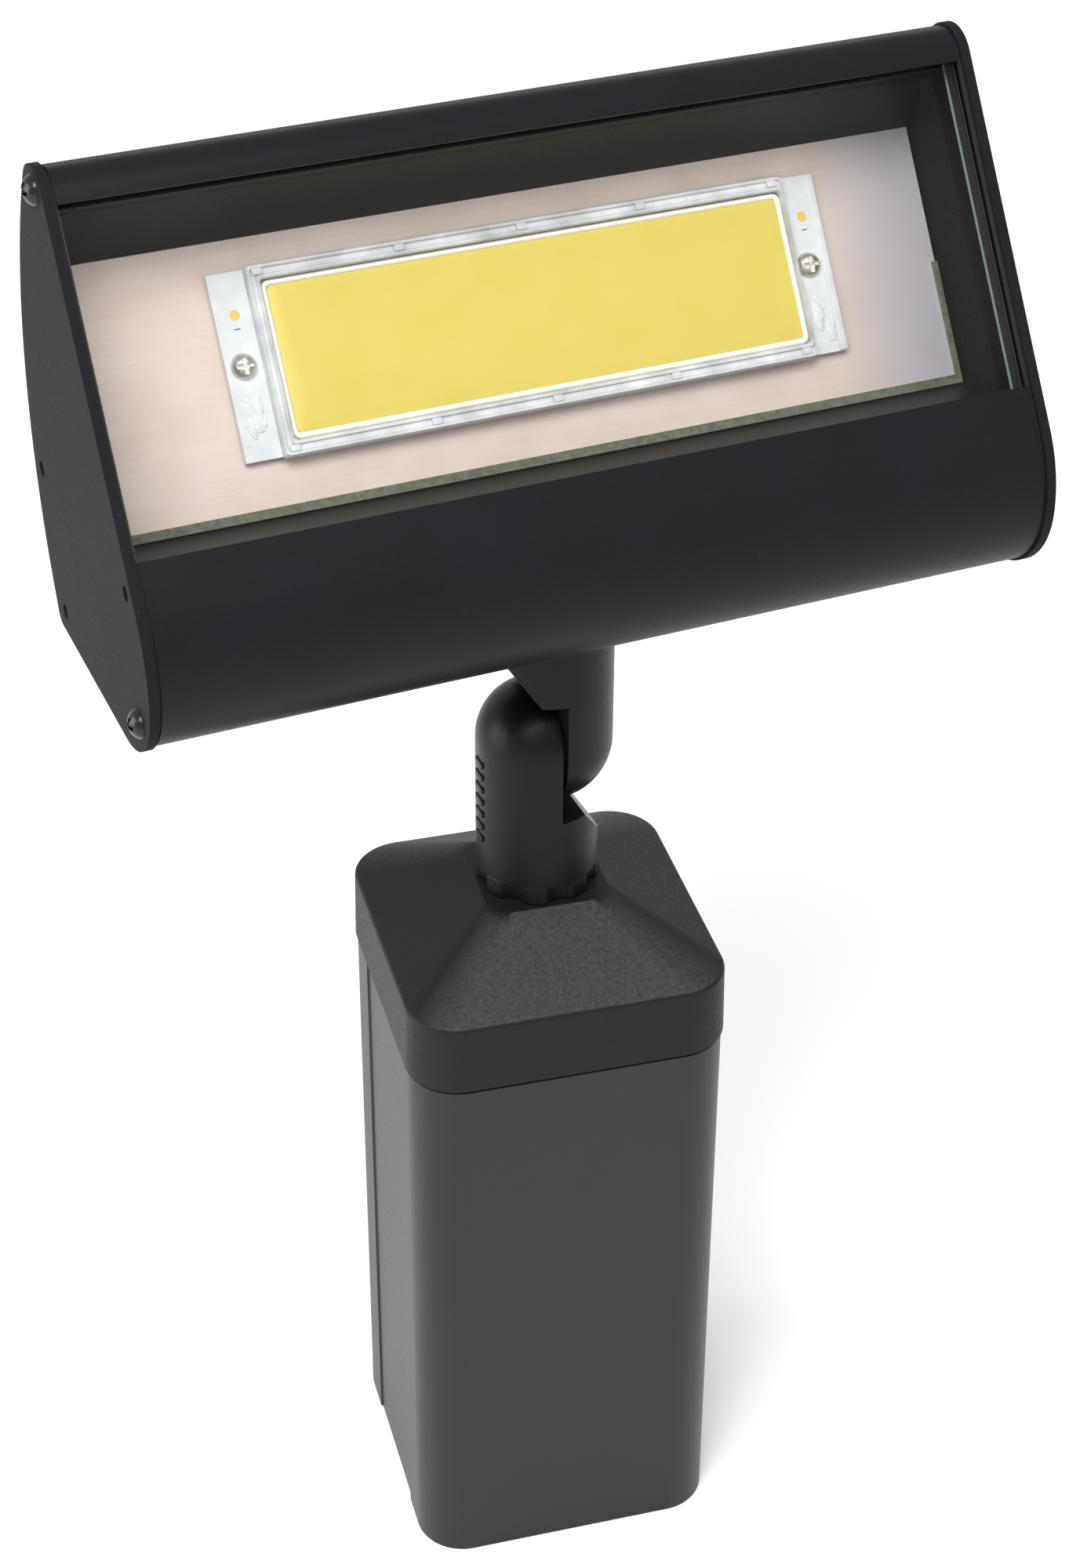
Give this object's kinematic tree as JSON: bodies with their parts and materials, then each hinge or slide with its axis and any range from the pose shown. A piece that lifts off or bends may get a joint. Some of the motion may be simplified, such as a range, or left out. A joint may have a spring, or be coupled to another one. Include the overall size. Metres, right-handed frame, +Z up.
{
  "type": "landscape floodlight",
  "caption": "Long extruded LED wall-wash head with a sloping glass face, on a lapped tilt knuckle that screws into the cap of a square hollow post.",
  "frame": {"origin": "centre of the post's open foot, in the plane of its lower end", "axes": "+Z up along the post; +X along the post's front face, to the right as seen from the lit side; the light shines towards -Y"},
  "size_m": [0.2173, 0.1089, 0.3717],
  "materials": {
    "post_paint": "fine textured dark grey powder coat over aluminium",
    "cap_paint": "textured black powder coat on cast aluminium",
    "head_paint": "textured blue-black powder coat over extruded and cast aluminium",
    "plate_paint": "textured dark grey powder coat over aluminium sheet",
    "black_rubber": "matt black",
    "steel_hardware": "stainless",
    "black_screws": "gloss black coated steel",
    "lens_glass": "clear tempered glass with a faint green edge",
    "clear_silicone": "clear silicone",
    "brushed_tray": "brushed sheet",
    "thermal_pad": "grey thermal pad",
    "board_white": "white solder mask",
    "phosphor_gel": "yellow phosphor gel",
    "dam_white": "cream white silicone dam",
    "clear_cover": "clear moulded frame",
    "gold_pads": "gold plated",
    "white_silicone": "white silicone",
    "driver_potting": "black potted case",
    "foam_tape": "foam tape",
    "lead_insulation": "white insulated wire"
  },
  "bodies": {
    "post": {"post_tube": "post_paint", "post_cap": "cap_paint", "cap_gasket": "black_rubber"},
    "knuckle": {"lower_knuckle": "cap_paint", "base_locknut": "cap_paint", "pivot_bolt": "steel_hardware", "pivot_washer": "steel_hardware", "knuckle_seal": "black_rubber"},
    "head": {"upper_knuckle": "cap_paint", "floor_gasket": "black_rubber", "stem_nut": "steel_hardware", "housing_extrusion": "head_paint", "left_end_gasket": "black_rubber", "left_end_plate": "plate_paint", "left_end_screws": "black_screws", "right_end_gasket": "black_rubber", "right_end_plate": "plate_paint", "right_end_screws": "black_screws", "lens": "lens_glass", "lens_gasket": "clear_silicone", "tray": "brushed_tray", "tray_sealant": "clear_silicone", "thermal_pad": "thermal_pad", "led_board": "board_white", "led_phosphor": "phosphor_gel", "led_dam": "dam_white", "led_cover": "clear_cover", "board_screws": "steel_hardware", "test_pads": "gold_pads", "joint_sealant": "white_silicone", "led_driver": "driver_potting", "driver_tape": "foam_tape", "led_leads": "lead_insulation"}
  },
  "joints": [
    {"name": "swivel", "type": "hinge", "parent": "post", "child": "knuckle", "pos_m": [0, 0, 0.2234], "axis": [0, 0, 1], "range_deg": [-170, 170]},
    {"name": "tilt", "type": "hinge", "parent": "knuckle", "child": "head", "pos_m": [0, 0, 0.2234], "axis": [0.9912, 0.1323, 0], "range_deg": [-90, 90]}
  ]
}
